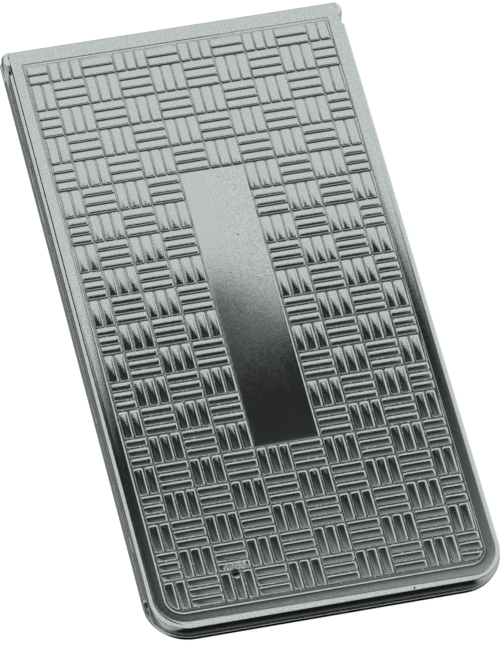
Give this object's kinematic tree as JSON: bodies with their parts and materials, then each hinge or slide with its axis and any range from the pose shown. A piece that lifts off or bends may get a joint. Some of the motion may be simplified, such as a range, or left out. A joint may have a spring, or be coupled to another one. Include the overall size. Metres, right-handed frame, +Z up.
{
  "type": "money clip",
  "caption": "Hinged spring-loaded money clip: an embossed basket-weave cover closes by a leaf spring on a flat back plate and grips folded notes between its jaws.",
  "frame": {"origin": "on the surface that the closed clip lies on, under the middle of its box", "axes": "+X across the clip, +Y along it towards the hinge, +Z up through the embossed cover"},
  "size_m": [0.0256, 0.051, 0.002],
  "materials": {
    "polished_plate": "bright silver-coloured plating, lightly worn",
    "liner_plate": "bright plating with fine rubbing marks",
    "back_plate_metal": "bright plating with a fine grain",
    "spring_steel": "tempered spring strip, fine grain",
    "pin_steel": "plain drawn wire"
  },
  "bodies": {
    "lower_jaw": {"back_plate": "back_plate_metal", "back_liner": "liner_plate", "leaf_spring": "spring_steel", "spring_rivet_left": "pin_steel", "spring_rivet_right": "pin_steel", "hinge_pin": "pin_steel"},
    "upper_jaw": {"cover": "polished_plate", "cover_liner": "liner_plate"}
  },
  "joints": [
    {"name": "jaw_hinge", "type": "hinge", "parent": "lower_jaw", "child": "upper_jaw", "pos_m": [0, 0.02484, 0.00132], "axis": [-1, 0, 0], "range_deg": [0, 75], "stiffness_Nm_per_rad": 0.05, "springref_deg": -29.79, "deforming": ["leaf_spring"]}
  ]
}
